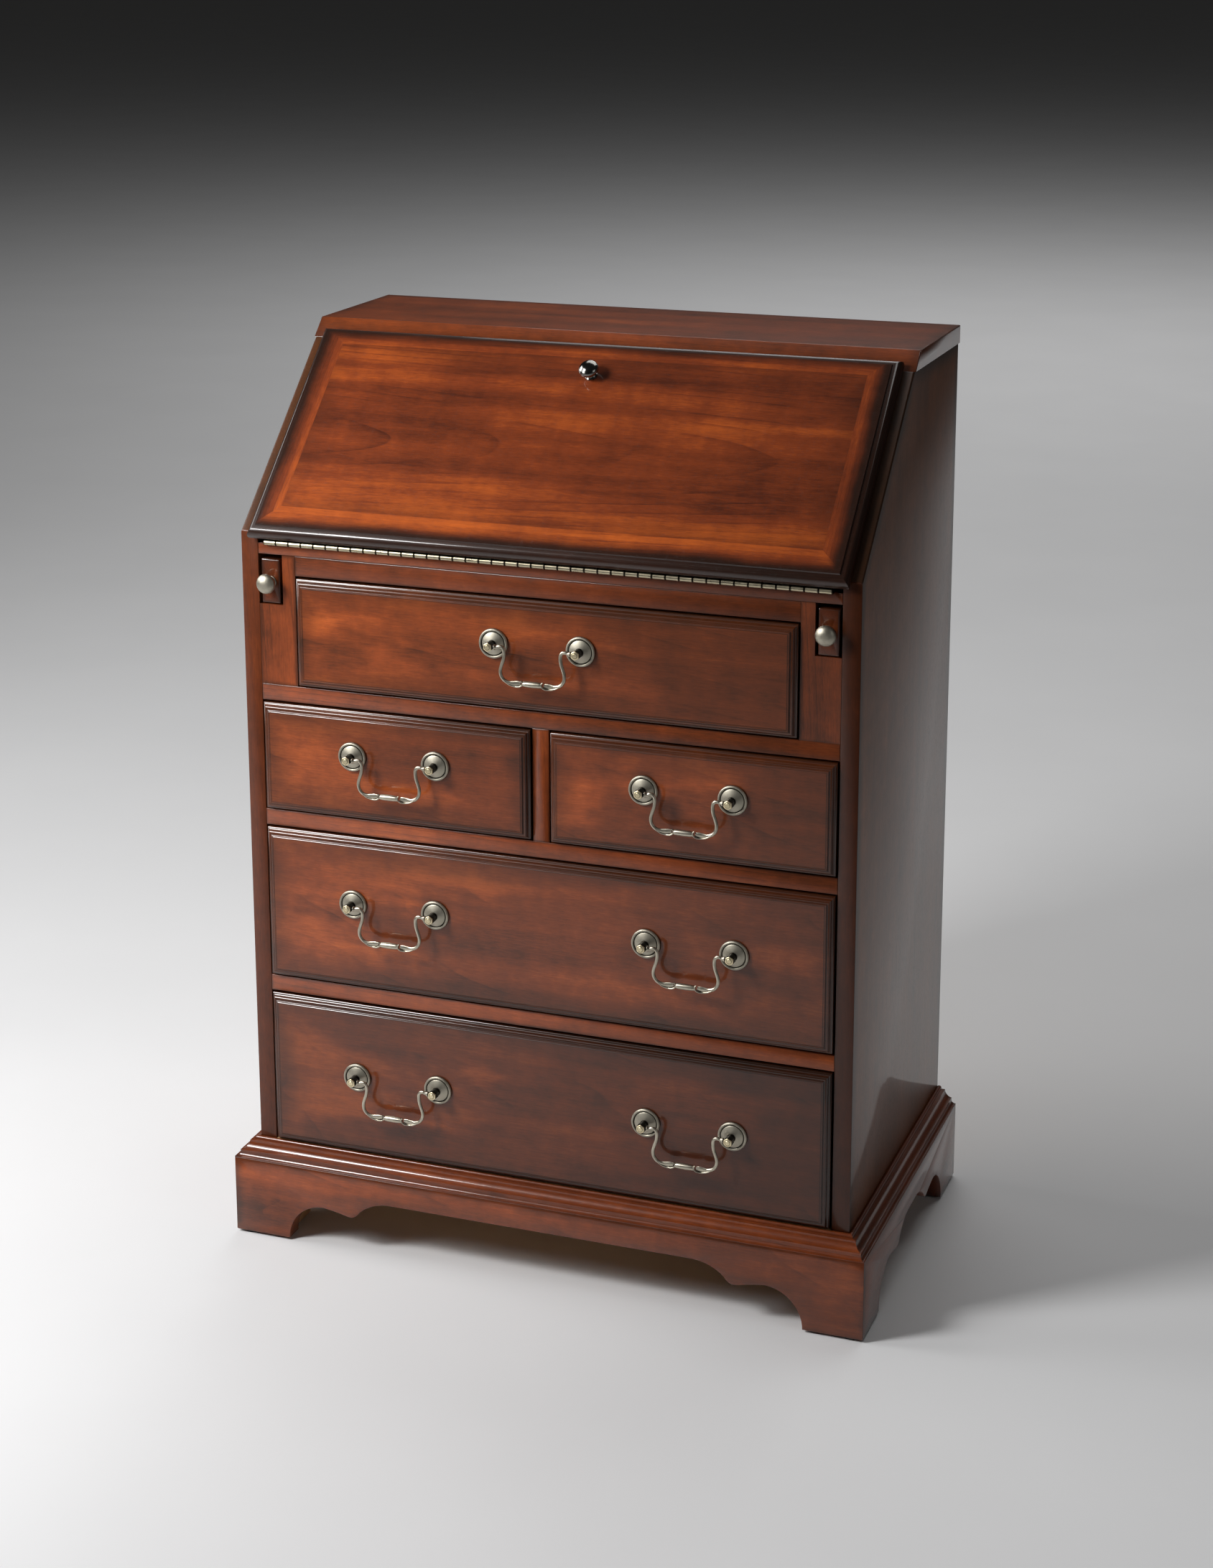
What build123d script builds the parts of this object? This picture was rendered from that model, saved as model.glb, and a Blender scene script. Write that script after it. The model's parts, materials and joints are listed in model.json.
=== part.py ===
from build123d import *
from math import atan2, cos, degrees, pi, sin, sqrt
import os

# Slant-front secretary desk. Millimetres. The code works in the carcass's own frame: X to the right,
# Y from the front face of the frame (Y = 0) to the back, Z up from the floor. save() moves every piece to
# the part's frame, whose origin is the middle of the desk's footprint, on the floor.

# ---------------------------------------------------------------- carcass
CASE_WIDTH = 660
CASE_DEPTH = 375
BOARD = 19                    # side panels, top board, bottom board, frame rails front to back
TOP_OVERHANG = 1.5            # top board past the sides and the back
TOP_ROUND = 1.2
PANEL_FOOT = 61               # bottom edge of the side panels, hidden behind the plinth
BACK_THICKNESS = 6
BACK_RECESS = 2
SHADOW_CHAMFER = 1.2          # breaks the arris where two boards meet, and shows as a fine dark line

INNER = CASE_WIDTH / 2 - BOARD
BACK_FACE = CASE_DEPTH - BACK_RECESS - BACK_THICKNESS

# Heights of the front frame, from the bottom board upwards
FRAME_RAIL = 17.5
FLOOR_TOP = 107               # upper face of the bottom board
DRAWER_4_TOP = FLOOR_TOP + 172
DRAWER_3_FLOOR = DRAWER_4_TOP + FRAME_RAIL
DRAWER_3_TOP = DRAWER_3_FLOOR + 169
SMALL_FLOOR = DRAWER_3_TOP + FRAME_RAIL
SMALL_TOP = SMALL_FLOOR + 119.5
TOP_DRAWER_FLOOR = SMALL_TOP + FRAME_RAIL
TOP_DRAWER_TOP = TOP_DRAWER_FLOOR + 118
FILLER_TOP = TOP_DRAWER_TOP + 21
WRITING_HEIGHT = FILLER_TOP + 11.5
CASE_TOP = 955

RAIL_DEPTH = 60               # front members of the dust frames
RUNNER_WIDTH = 45
DIVIDER = 18
TOP_DRAWER_HALF = 269.6       # half width of the opening between the loper posts

# ---------------------------------------------------------------- slant
SLANT_START = 782             # height where the side panels' slanted edge leaves the front
SLANT_RUN = 184.9             # depth at which it meets the top board
SLANT = atan2(CASE_TOP - SLANT_START, SLANT_RUN)

# ---------------------------------------------------------------- base
GLIDE_HEIGHT = 3
GLIDE_RADIUS = 8.5
PLINTH = 21.5                 # plinth board thickness, outside the carcass
PLINTH_TOP = 88
FOOT_WIDTH = 63.5
CORNER_BLOCK = 38

# ---------------------------------------------------------------- lid and its hinge
LID_WIDTH = 637
LID_BOTTOM = -8.5             # along the slope, from the start of the slant
LID_TOP = 260.5
LID_FACE = 12.7               # outer face above the slanted edges
LID_GAP = 0.3                 # between the lip and the edges that it covers
LID_SIDE_CLEARANCE = 1.5
LID_KNOB_AT = 215             # along the slope

LEAF = 1.2
LEAF_REACH = 15               # from the pin to the leaf's far edge
BARREL_RADIUS = 2.8
PIN_RADIUS = 1.1
PIN_CLEARANCE = 0.05
PIN_Y = -3
HINGE_LENGTH = 604
KNUCKLES = 43
KNUCKLE_GAP = 0.8
HINGE_SCREWS = 10
SCREW_HEAD_RADIUS = 2.9
SCREW_SHANK_RADIUS = 1.4
SCREW_LENGTH = 9

PIN_Z = WRITING_HEIGHT - LEAF + BARREL_RADIUS
# The pin in the lid's own frame: along the slope, and out from the slanted edges
PIN_ALONG = PIN_Y * cos(SLANT) + (PIN_Z - SLANT_START) * sin(SLANT)
PIN_OUT = -PIN_Y * sin(SLANT) + (PIN_Z - SLANT_START) * cos(SLANT)
# The lid's inner face comes level with the writing surface when the lid is open
LID_INNER_FACE = PIN_OUT + PIN_Z - WRITING_HEIGHT
LOPER_TOP = PIN_Z + PIN_OUT - LID_FACE - 0.2

# ---------------------------------------------------------------- lopers
LOPER_SLOT_FLOOR = 706
LOPER_SLOT_INNER = 284
LOPER_INNER = 287
LOPER_WIDTH = 21
LOPER_LENGTH = 330
LOPER_LIFT = 1.2              # running gap under the loper
PARTITION = 12

# ---------------------------------------------------------------- drawers
DRAWER_GAP = 2                # round a drawer front, in its opening
FRONT_THICKNESS = 19
FIELD_PROUD = 8               # flat field in front of the frame
BORDER_DROP = 6               # depth of the moulded border, from the field to its lip
DRAWER_WALL = 12
WALL_INSET = 1.5              # box sides inside the ends of the front
WALL_LIFT = 1                 # box sides above the runners
DRAWER_LENGTH = 340           # back of the box, from the frame's front
WALL_HEADROOM = 16
BOTTOM_THICKNESS = 5
BOTTOM_RAISE = 9
GROOVE = 5

# ---------------------------------------------------------------- handles
POST_SPACING = 93
ROSETTE_RADIUS = 15.5
ROSETTE_HEIGHT = 5.2
POST_HEX = 8.4                # across flats
POST_REACH = 18.5             # from the drawer's field to the post's end
BAIL_AXIS = 13.5              # from the drawer's field to the bail's pivot line
BAIL_WIRE = 1.6               # radius
BAIL_DROP = 35
BAIL_NECK_HALF = 30
BAIL_FOOT_HALF = 35.3
BAIL_CLEARANCE = 0.05
BAIL_END_GAP = 2              # from the bail's end to the middle of its post
BAIL_HOLE = 6                 # length of the bail's blind hole in a post, past the side it opens on
STUD_RADIUS = 2.0
STUD_PAST = 4.5               # stud behind the drawer front
NUT_HEIGHT = 3.5
NUT_HEX = 7.0                 # across flats
SMALL_HANDLE_AT = 159         # handle centre of a small drawer from the desk's middle
WIDE_HANDLE_AT = 162          # the same for the two handles of a wide drawer
HANDLE_RAISE = 11             # handle posts above the middle of their drawer
BOTTOM_HANDLE_RAISE = 4
HANDLE_SIDES = ("left_", "right_")

# ---------------------------------------------------------------- gallery inside the slant
GALLERY_FRONT = 206
GALLERY_BOARD = 8
GALLERY_SHELF = 868
SCALLOP = 16                  # how far the dividers' front edges curve in

DESK_DEPTH_FRONT = FIELD_PROUD + POST_REACH
DESK_DEPTH_BACK = CASE_DEPTH + TOP_OVERHANG
ORIGIN_Y = (DESK_DEPTH_BACK - DESK_DEPTH_FRONT) / 2


# ================================================================ helpers
def block(x, y, z):
    """A box between the two X, the two Y and the two Z values."""
    middle = Pos((x[0] + x[1]) / 2, (y[0] + y[1]) / 2, (z[0] + z[1]) / 2)
    return middle * Box(abs(x[1] - x[0]), abs(y[1] - y[0]), abs(z[1] - z[0]))


def mirrored_x(solid):
    return mirror(solid, Plane.YZ)


def both_sides(solid):
    return [solid, mirrored_x(solid)]


def prism_x(face, x):
    """Extrude a face drawn in (Y, Z) between two X values."""
    placed = Plane(origin=(x[0], 0, 0), x_dir=(0, 1, 0), z_dir=(1, 0, 0)) * face
    return extrude(placed, x[1] - x[0])


def prism_y(face, y):
    """Extrude a face drawn in (X, Z) between two Y values."""
    placed = Plane(origin=(0, y[0], 0), x_dir=(1, 0, 0), z_dir=(0, -1, 0)) * face
    return extrude(placed, y[0] - y[1])


def prism_z(face, z):
    """Extrude a face drawn in (X, Y) between two Z values."""
    return extrude(Pos(0, 0, z[0]) * face, z[1] - z[0])


def polygon(*corners):
    return make_face(Polyline(*corners, close=True))


def outline(*strokes):
    """A face inside strokes: two points make a line, three points an arc through the middle one."""
    edges = [Line(*stroke) if len(stroke) == 2 else ThreePointArc(*stroke) for stroke in strokes]
    return make_face(Curve() + edges)


def lid_plane(along, out):
    """A plane on the slope: local X is across the desk, Y runs up the slope, Z points out of the lid."""
    y = along * cos(SLANT) - out * sin(SLANT)
    z = SLANT_START + along * sin(SLANT) + out * cos(SLANT)
    return Plane(origin=(0, y, z), x_dir=(1, 0, 0), z_dir=(0, -sin(SLANT), cos(SLANT)))


pieces = {}


def save(name, *solids):
    """Keep a node, moved to the part's frame. Several solids stay separate pieces of one node."""
    moved = [Pos(0, -ORIGIN_Y, 0) * solid for part in solids for solid in part.solids()]
    pieces[name] = moved[0] if len(moved) == 1 else Compound(children=moved)


# ================================================================ small hardware
def knob():
    """Turned metal knob on +Z, with the stud that holds it below Z = 0."""
    stud = 2.0
    stud_end = -9
    height = 17.5
    head = [(4.2, 5.4), (8.2, 7.0), (10.5, 10.8), (7.6, 15.4), (0, height)]
    edges = [
        Polyline((4.7, 2.7), (6.6, 1.2), (6.6, 0), (stud, 0), (stud, stud_end), (0, stud_end), (0, height)),
        Line((4.7, 2.7), head[0]),
        Spline(*head, tangents=[(1, 0.1), (-1, 0)]),
    ]
    return revolve(Plane.XZ * make_face(Curve() + edges), Axis.Z)


def wood_screw():
    """Countersunk slotted screw, its head flush with Z = 0 and its shank on -Z."""
    cone = SCREW_HEAD_RADIUS - SCREW_SHANK_RADIUS
    section = polygon(
        (0, 0),
        (SCREW_HEAD_RADIUS, 0),
        (SCREW_SHANK_RADIUS, -cone),
        (SCREW_SHANK_RADIUS, -SCREW_LENGTH + 2),
        (0, -SCREW_LENGTH),
    )
    slot = Box(2 * SCREW_HEAD_RADIUS, 0.8, 1.0)
    return revolve(Plane.XZ * section, Axis.Z), slot


def rosette():
    """Round back plate on +Z: a rolled rim, a groove, then a low dome with the post's hole."""
    hole = 3.2
    section = outline(
        ((hole, 0), (ROSETTE_RADIUS, 0)),
        ((ROSETTE_RADIUS, 0), (15.2, 2.0), (13.6, 2.6)),
        ((13.6, 2.6), (12.4, 2.4), (11.9, 1.7)),
        ((11.9, 1.7), (11.4, 2.4)),
        ((11.4, 2.4), (7.6, 4.4), (hole, ROSETTE_HEIGHT)),
        ((hole, ROSETTE_HEIGHT), (hole, 0)),
    )
    return revolve(Plane.XZ * section, Axis.Z)


def post():
    """Handle post on +Z: threaded stud through the drawer front, round shaft, chamfered hexagonal head."""
    shaft_top = 8.6
    hexagon = RegularPolygon(POST_HEX / 2, 6, major_radius=False)
    stud = Pos(0, 0, -(FRONT_THICKNESS + STUD_PAST) / 2) * Cylinder(STUD_RADIUS, FRONT_THICKNESS + STUD_PAST)
    shaft = Pos(0, 0, shaft_top / 2) * Cylinder(3.2, shaft_top)
    head = extrude(Pos(0, 0, shaft_top) * hexagon, POST_REACH - shaft_top)
    head = chamfer(head.faces().sort_by(Axis.Z)[-1].edges(), 0.9)
    return stud + shaft + head


def nut():
    """Hexagonal nut on the stud, behind the drawer front."""
    section = RegularPolygon(NUT_HEX / 2, 6, major_radius=False) - Circle(STUD_RADIUS)
    return extrude(Pos(0, 0, -FRONT_THICKNESS - NUT_HEIGHT) * section, NUT_HEIGHT)


def bail():
    """Swan-neck bail in the XZ plane; its pivot line is the X axis and it hangs on -Z."""
    end = POST_SPACING / 2 - BAIL_END_GAP
    route = FilletPolyline(
        (-end, 0, 0),
        (-BAIL_NECK_HALF, 0, 0),
        (-BAIL_FOOT_HALF, 0, -BAIL_DROP),
        (BAIL_FOOT_HALF, 0, -BAIL_DROP),
        (BAIL_NECK_HALF, 0, 0),
        (end, 0, 0),
        radius=[4.5, 11, 11, 4.5],
    )
    start = Plane(origin=(-end, 0, 0), z_dir=(1, 0, 0))
    wire = sweep(start * Circle(BAIL_WIRE), path=route)
    swell = outline(
        ((-25, 0), (25, 0)),
        ((25, 0), (25, 1.2)),
        ((25, 1.2), (18, 2.5), (11, 3.1)),
        ((11, 3.1), (10.2, 2.0)),
        ((10.2, 2.0), (0, 3.2), (-10.2, 2.0)),
        ((-10.2, 2.0), (-11, 3.1)),
        ((-11, 3.1), (-18, 2.5), (-25, 1.2)),
        ((-25, 1.2), (-25, 0)),
    )
    grip = Pos(0, 0, -BAIL_DROP) * revolve(Plane.XZ * swell, Axis.X)
    return wire + grip


# ================================================================ carcass
def side_panel():
    face = polygon(
        (0, PANEL_FOOT),
        (CASE_DEPTH, PANEL_FOOT),
        (CASE_DEPTH, CASE_TOP),
        (SLANT_RUN, CASE_TOP),
        (0, SLANT_START),
    )
    panel = prism_x(face, (INNER, CASE_WIDTH / 2))
    outer_edges = panel.faces().sort_by(Axis.X)[-1].edges()
    slant_and_top = [edge for edge in outer_edges if edge.center().Z > SLANT_START]
    return chamfer(slant_and_top, SHADOW_CHAMFER)


def top_board():
    bevel_top = SLANT_RUN + BOARD / (CASE_TOP - SLANT_START) * SLANT_RUN
    face = polygon(
        (SLANT_RUN, CASE_TOP),
        (DESK_DEPTH_BACK, CASE_TOP),
        (DESK_DEPTH_BACK, CASE_TOP + BOARD),
        (bevel_top, CASE_TOP + BOARD),
    )
    half = CASE_WIDTH / 2 + TOP_OVERHANG
    board = prism_x(face, (-half, half))
    return fillet(board.faces().sort_by(Axis.Z)[-1].edges(), TOP_ROUND)


def carcass():
    side = side_panel()
    save("right_side_panel", side)
    save("left_side_panel", mirrored_x(side))
    save("top_board", top_board())
    full = (-INNER, INNER)
    save("back_panel", block(full, (BACK_FACE, BACK_FACE + BACK_THICKNESS), (PANEL_FOOT, CASE_TOP)))
    save("writing_surface", block(full, (BOARD, BACK_FACE), (FILLER_TOP, WRITING_HEIGHT)))
    save("bottom_board", block(full, (0, BACK_FACE), (FLOOR_TOP - BOARD, FLOOR_TOP)))
    filler_half = (-TOP_DRAWER_HALF, TOP_DRAWER_HALF)
    save("filler_rail", block(filler_half, (0, BOARD), (TOP_DRAWER_TOP, FILLER_TOP)))
    rails = {"lower_rail": DRAWER_4_TOP, "middle_rail": DRAWER_3_TOP, "upper_rail": SMALL_TOP}
    for name, height in rails.items():
        save(name, block(full, (0, RAIL_DEPTH), (height, height + FRAME_RAIL)))
    save("centre_divider", block((-DIVIDER / 2, DIVIDER / 2), (0, BACK_FACE), (SMALL_FLOOR, SMALL_TOP)))


def runners():
    """Rails behind each frame rail that carry the drawers' sides."""
    depth = (RAIL_DEPTH, BACK_FACE)
    outer = (INNER - RUNNER_WIDTH, INNER)
    centre = (-RUNNER_WIDTH / 2, RUNNER_WIDTH / 2)
    solids = []
    for height in (DRAWER_4_TOP, DRAWER_3_TOP, SMALL_TOP):
        solids += both_sides(block(outer, depth, (height, height + FRAME_RAIL)))
    solids.append(block(centre, depth, (DRAWER_3_TOP, SMALL_FLOOR)))
    save("drawer_runners", *solids)


# ================================================================ lopers
def loper_post():
    """Block beside the top drawer, notched at its outer upper corner for the loper."""
    face = polygon(
        (TOP_DRAWER_HALF, TOP_DRAWER_FLOOR),
        (INNER, TOP_DRAWER_FLOOR),
        (INNER, LOPER_SLOT_FLOOR),
        (LOPER_SLOT_INNER, LOPER_SLOT_FLOOR),
        (LOPER_SLOT_INNER, FILLER_TOP),
        (TOP_DRAWER_HALF, FILLER_TOP),
    )
    return prism_y(face, (0, BOARD))


def loper_guides():
    wall = block(
        (TOP_DRAWER_HALF, TOP_DRAWER_HALF + PARTITION),
        (BOARD, BACK_FACE),
        (TOP_DRAWER_FLOOR, FILLER_TOP),
    )
    shelf = block(
        (TOP_DRAWER_HALF + PARTITION, INNER),
        (BOARD, BACK_FACE),
        (LOPER_SLOT_FLOOR - 14, LOPER_SLOT_FLOOR),
    )
    return both_sides(wall) + both_sides(shelf)


def lopers():
    post_block = loper_post()
    save("right_loper_post", post_block)
    save("left_loper_post", mirrored_x(post_block))
    save("loper_guides", *loper_guides())
    bar = block(
        (LOPER_INNER, LOPER_INNER + LOPER_WIDTH),
        (0, LOPER_LENGTH),
        (LOPER_SLOT_FLOOR + LOPER_LIFT, LOPER_TOP),
    )
    bar = chamfer(bar.faces().sort_by(Axis.Y)[0].edges(), 1.0)
    centre_z = (LOPER_SLOT_FLOOR + LOPER_TOP) / 2
    face = Plane(origin=(LOPER_INNER + LOPER_WIDTH / 2, 0, centre_z), x_dir=(1, 0, 0), z_dir=(0, -1, 0))
    pull = face * knob()
    bar -= pull
    save("right_loper", bar)
    save("left_loper", mirrored_x(bar))
    save("right_loper_knob", pull)
    save("left_loper_knob", mirrored_x(pull))


# ================================================================ hinge and lid
def knuckle_spans(first):
    """X spans of every second knuckle, starting with the given one."""
    pitch = HINGE_LENGTH / KNUCKLES
    starts = [-HINGE_LENGTH / 2 + pitch * index for index in range(first, KNUCKLES, 2)]
    return [(start + KNUCKLE_GAP / 2, start + pitch - KNUCKLE_GAP / 2) for start in starts]


def hinge_leaf(first, side):
    """Leaf and its knuckles in a frame on the pin: Y along the leaf, Z across it; side -1 is below."""
    low, high = sorted((side * BARREL_RADIUS, side * (BARREL_RADIUS - LEAF)))
    root = BARREL_RADIUS + 0.5
    bore = Circle(PIN_RADIUS + PIN_CLEARANCE)
    tab = polygon((0, low), (root, low), (root, high), (0, high))
    section = Circle(BARREL_RADIUS) + tab - bore
    leaf = block((-HINGE_LENGTH / 2, HINGE_LENGTH / 2), (root, LEAF_REACH), (low, high))
    for span in knuckle_spans(first):
        leaf += prism_x(section, span)
    return leaf


def hinge_screw_places():
    pitch = HINGE_LENGTH / HINGE_SCREWS
    return [-HINGE_LENGTH / 2 + pitch * (index + 0.5) for index in range(HINGE_SCREWS)]


def hinge_screws(side):
    """Slotted screws in the middle of a leaf, in the pin's frame, and the same screws without slots."""
    body, slot = wood_screw()
    turn = Rot(180, 0, 0) if side > 0 else Rot(0, 0, 0)
    height = side * (BARREL_RADIUS - LEAF)
    places = [Pos(x, (BARREL_RADIUS + LEAF_REACH) / 2 + 1, height) * turn for x in hinge_screw_places()]
    return [place * (body - slot) for place in places], [place * body for place in places]


def lid_edge(half, top):
    """Strokes of the lid's moulded edge, from its lip to the flat field."""
    foot = LID_GAP
    return [
        ((half, foot), (half, 3.2)),
        ((half, 3.2), (half - 1.4, 7.8), (half - 6.6, top - 1.6)),
        ((half - 6.6, top - 1.6), (half - 8.4, top - 1.3)),
        ((half - 8.4, top - 1.3), (half - 9.2, top)),
    ]


def drawer_edge(half, top):
    """Strokes of a drawer front's border: a flat lip, a bead, a fine second bead, then the field."""
    lip = top - BORDER_DROP
    return [
        ((half, top - FRONT_THICKNESS), (half, lip - 0.6)),
        ((half, lip - 0.6), (half - 0.6, lip)),
        ((half - 0.6, lip), (half - 1.6, lip + 0.4), (half - 2.6, lip + 1.4)),
        ((half - 2.6, lip + 1.4), (half - 3.2, lip + 3.4), (half - 5.6, lip + 4.5)),
        ((half - 5.6, lip + 4.5), (half - 6.4, lip + 4.5)),
        ((half - 6.4, lip + 4.5), (half - 6.9, lip + 5.6), (half - 8.2, lip + 5.7)),
        ((half - 8.2, lip + 5.7), (half - 8.6, top)),
    ]


def moulded_section(edge, half, top, back):
    """Cross-section with the same moulded edge on both sides."""
    right = edge(half, top)
    left = [tuple((-x, z) for x, z in stroke) for stroke in right]
    start, end = right[0][0], right[-1][-1]
    across = [((-start[0], back), (start[0], back)), ((-end[0], end[1]), end)]
    return outline(*right, *left, *across)


def moulded_slab(edge, width, height, top, back):
    """A board in XY with a moulded border that is mitred at its corners; its field is at Z = top."""
    across = moulded_section(edge, width / 2, top, back)
    along = moulded_section(edge, height / 2, top, back)
    return prism_y(across, (-height / 2, height / 2)) & prism_x(along, (-width / 2, width / 2))


def lid_and_hinge():
    middle = (LID_TOP + LID_BOTTOM) / 2
    lip = moulded_slab(lid_edge, LID_WIDTH, LID_TOP - LID_BOTTOM, LID_FACE, LID_GAP)
    lip = lid_plane(middle, 0) * lip
    inset_half = INNER - LID_SIDE_CLEARANCE
    inset_low = PIN_ALONG + BARREL_RADIUS + 0.5
    inset_high = sqrt(SLANT_RUN**2 + (CASE_TOP - SLANT_START) ** 2) - LID_SIDE_CLEARANCE
    inset = block((-inset_half, inset_half), (inset_low, inset_high), (LID_INNER_FACE, LID_GAP))
    panel = lip + lid_plane(0, 0) * inset

    lid_frame = lid_plane(PIN_ALONG, PIN_OUT)
    case_frame = Pos(0, PIN_Y, PIN_Z)
    lid_leaf = lid_frame * hinge_leaf(1, 1)
    case_leaf = case_frame * hinge_leaf(0, -1)
    lid_screws, lid_shanks = ([lid_frame * screw for screw in group] for group in hinge_screws(1))
    case_screws, case_shanks = ([case_frame * screw for screw in group] for group in hinge_screws(-1))
    rail = block((-INNER, INNER), (0, BOARD), (FILLER_TOP, WRITING_HEIGHT))

    pull = lid_plane(LID_KNOB_AT, LID_FACE) * knob()
    panel -= lid_leaf
    panel -= pull
    rail -= case_leaf
    for shank in lid_shanks:
        panel -= shank
        lid_leaf -= shank
    for shank in case_shanks:
        rail -= shank
        case_leaf -= shank

    save("lid_panel", panel)
    save("lid_knob", pull)
    save("lid_hinge_leaf", lid_leaf)
    save("lid_hinge_screws", *lid_screws)
    save("top_rail", rail)
    save("case_hinge_leaf", case_leaf)
    save("case_hinge_screws", *case_screws)
    save("hinge_pin", case_frame * Rot(0, 90, 0) * Cylinder(PIN_RADIUS, HINGE_LENGTH))


# ================================================================ drawers
def drawer(name, x, z, handle_centres, handle_raise=HANDLE_RAISE):
    """One drawer in the opening between the X values and the Z values, with its handles."""
    centre = (x[0] + x[1]) / 2
    width = x[1] - x[0] - 2 * DRAWER_GAP
    height = z[1] - z[0] - 2 * DRAWER_GAP
    field = Plane(origin=(centre, -FIELD_PROUD, (z[0] + z[1]) / 2), x_dir=(1, 0, 0), z_dir=(0, -1, 0))
    front = field * moulded_slab(drawer_edge, width, height, 0, -FRONT_THICKNESS)

    back_of_front = FRONT_THICKNESS - FIELD_PROUD
    wall_half = width / 2 - WALL_INSET
    low = z[0] + WALL_LIFT
    high = z[1] - WALL_HEADROOM
    inner_half = wall_half - DRAWER_WALL
    wall = block((inner_half, wall_half), (back_of_front, DRAWER_LENGTH), (low, high))
    walls = [Pos(centre, 0, 0) * side for side in both_sides(wall)]
    floor_low = low + BOTTOM_RAISE
    floor_high = floor_low + BOTTOM_THICKNESS
    floor = block(
        (centre - inner_half - GROOVE, centre + inner_half + GROOVE),
        (back_of_front - GROOVE, DRAWER_LENGTH),
        (floor_low, floor_high),
    )
    rear = block(
        (centre - inner_half, centre + inner_half),
        (DRAWER_LENGTH - DRAWER_WALL, DRAWER_LENGTH),
        (floor_high, high),
    )
    front -= floor
    walls = [wall - floor for wall in walls]

    mounts = []
    middle_z = (z[0] + z[1]) / 2 + handle_raise
    for number, handle_x in enumerate(handle_centres):
        for side in (-1, 1):
            seat = Plane(
                origin=(handle_x + side * POST_SPACING / 2, -FIELD_PROUD, middle_z),
                x_dir=(1, 0, 0),
                z_dir=(0, -1, 0),
            )
            stem = post()
            front -= seat * stem
            bore = Pos(-side * (BAIL_END_GAP + BAIL_HOLE / 2), 0, BAIL_AXIS) * Rot(0, 90, 0)
            stem -= bore * Cylinder(BAIL_WIRE + BAIL_CLEARANCE, BAIL_HOLE)
            mounts += [seat * rosette(), seat * stem, seat * nut()]
        side_name = HANDLE_SIDES[number] if len(handle_centres) > 1 else ""
        hung = Pos(handle_x, -FIELD_PROUD - BAIL_AXIS, middle_z) * bail()
        save(f"{name}_{side_name}bail", hung)
    save(f"{name}_front", front)
    save(f"{name}_box", *walls, rear, floor)
    save(f"{name}_handle_mounts", *mounts)


def drawers():
    pair = (-WIDE_HANDLE_AT, WIDE_HANDLE_AT)
    full = (-INNER, INNER)
    drawer("top_drawer", (-TOP_DRAWER_HALF, TOP_DRAWER_HALF), (TOP_DRAWER_FLOOR, TOP_DRAWER_TOP), (0,))
    drawer("small_drawer_left", (-INNER, -DIVIDER / 2), (SMALL_FLOOR, SMALL_TOP), (-SMALL_HANDLE_AT,))
    drawer("small_drawer_right", (DIVIDER / 2, INNER), (SMALL_FLOOR, SMALL_TOP), (SMALL_HANDLE_AT,))
    drawer("third_drawer", full, (DRAWER_3_FLOOR, DRAWER_3_TOP), pair)
    drawer("bottom_drawer", full, (FLOOR_TOP, DRAWER_4_TOP), pair, BOTTOM_HANDLE_RAISE)


# ================================================================ base
def apron(length):
    """Plinth face standing on Z = 0, with an ogee bracket foot at each end of its length."""
    height = PLINTH_TOP - GLIDE_HEIGHT
    foot = length / 2 - FOOT_WIDTH
    right = [
        ((length / 2, height), (length / 2, 0)),
        ((length / 2, 0), (foot, 0)),
        ((foot, 0), (foot - 11.5, 29), (foot - 40, 42)),
        ((foot - 40, 42), (foot - 55, 39.8), (foot - 70, 36.5)),
        ((foot - 70, 36.5), (foot - 78.5, 37.9), (foot - 83, 43)),
        ((foot - 83, 43), (foot - 97, 52.5), (foot - 120, 57.5)),
        ((foot - 120, 57.5), (0, 57.5)),
    ]
    left = [tuple((-x, z) for x, z in stroke) for stroke in right]
    return outline(*right, *left, ((-length / 2, height), (length / 2, height)))


def moulding_section():
    """Base moulding in (out from the carcass, Z): bead, shelf, cove, step and small cove onto the plinth."""
    z = PLINTH_TOP
    return outline(
        ((0, z), (0, z + 18.6)),
        ((0, z + 18.6), (2.4, z + 19.5), (4.6, z + 17.4)),
        ((4.6, z + 17.4), (4.6, z + 16)),
        ((4.6, z + 16), (8.8, z + 16)),
        ((8.8, z + 16), (10.8, z + 10.4), (15.8, z + 7.2)),
        ((15.8, z + 7.2), (16.6, z + 7.2)),
        ((16.6, z + 7.2), (16.6, z + 3.2)),
        ((16.6, z + 3.2), (18.4, z + 1.2), (PLINTH, z + 0.6)),
        ((PLINTH, z + 0.6), (PLINTH, z)),
        ((PLINTH, z), (0, z)),
    )


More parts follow.
